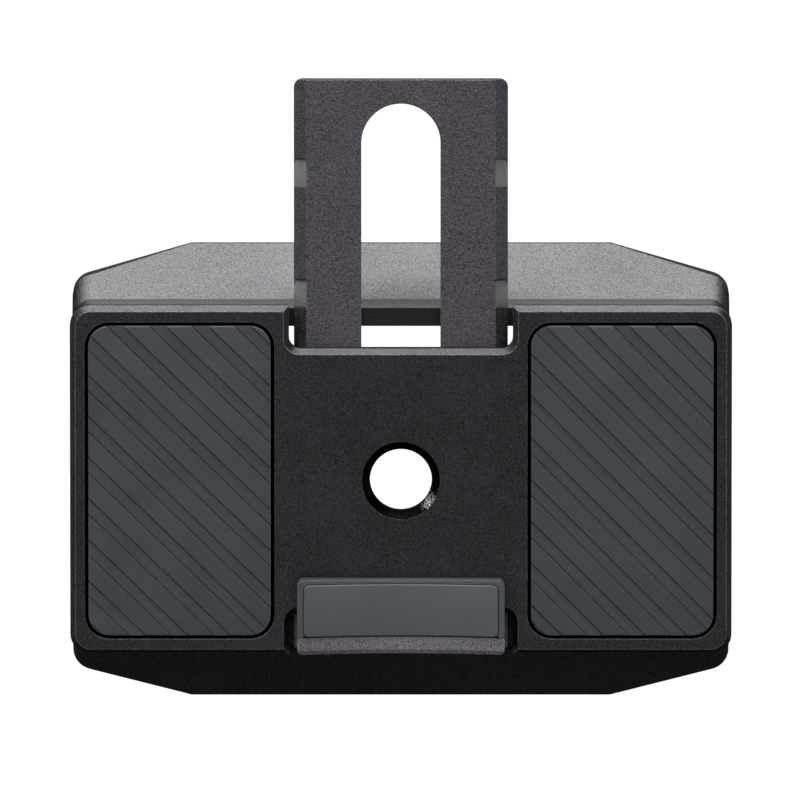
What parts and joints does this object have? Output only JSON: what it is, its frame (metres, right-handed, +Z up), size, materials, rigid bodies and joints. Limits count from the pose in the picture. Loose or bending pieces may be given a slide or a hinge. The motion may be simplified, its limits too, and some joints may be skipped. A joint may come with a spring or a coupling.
{
  "type": "camera mounting block",
  "caption": "Flat black dovetail mounting block for a camera, with ribbed rubber pads, a central screw hole and a slotted slider that carries a cradle-shaped rubber lens rest.",
  "frame": {"origin": "On the axis of the central camera screw hole, in the plane of the block's flat underside, which is what the block rests on.", "axes": "+Z up, out of the rubber pads, along the camera screw; +X along the long side, the way the dovetail slides into its clamp; -Y the way the lens rest slides out; the fork's free end is at +Y."},
  "size_m": [0.0736, 0.0699, 0.0164],
  "materials": {
    "plate_anodised": "fine bead-blasted, black anodised, satin",
    "base_anodised": "bead-blasted, black anodised, satin",
    "slider_blasted": "coarse blasted, dark grey anodised",
    "pad_rubber": "moulded, matt, ribbed",
    "rest_rubber": "moulded, matt, smooth",
    "adhesive_film": "double-sided film",
    "spring_steel": "bright spring steel strip",
    "screw_black": "black oxide",
    "pin_steel": "ground steel"
  },
  "bodies": {
    "block": {"base_block": "base_anodised", "top_plate": "plate_anodised", "pad_left": "pad_rubber", "pad_right": "pad_rubber", "pad_adhesive_left": "adhesive_film", "pad_adhesive_right": "adhesive_film", "click_spring_left": "spring_steel", "click_spring_right": "spring_steel", "plate_screw_front_left": "screw_black", "plate_screw_front_right": "screw_black", "plate_screw_back_left": "screw_black", "plate_screw_back_right": "screw_black", "locating_dowel_left": "pin_steel", "locating_dowel_right": "pin_steel", "stop_pin_front": "pin_steel", "stop_pin_back": "pin_steel"},
    "slider": {"slider": "slider_blasted", "lens_rest_pad": "rest_rubber", "lens_rest_adhesive": "adhesive_film"}
  },
  "joints": [
    {"name": "slider_travel", "type": "slide", "parent": "block", "child": "slider", "axis": [0, -1, 0], "range_m": [0, 0.027], "deforming": ["click_spring_left", "click_spring_right"]}
  ]
}
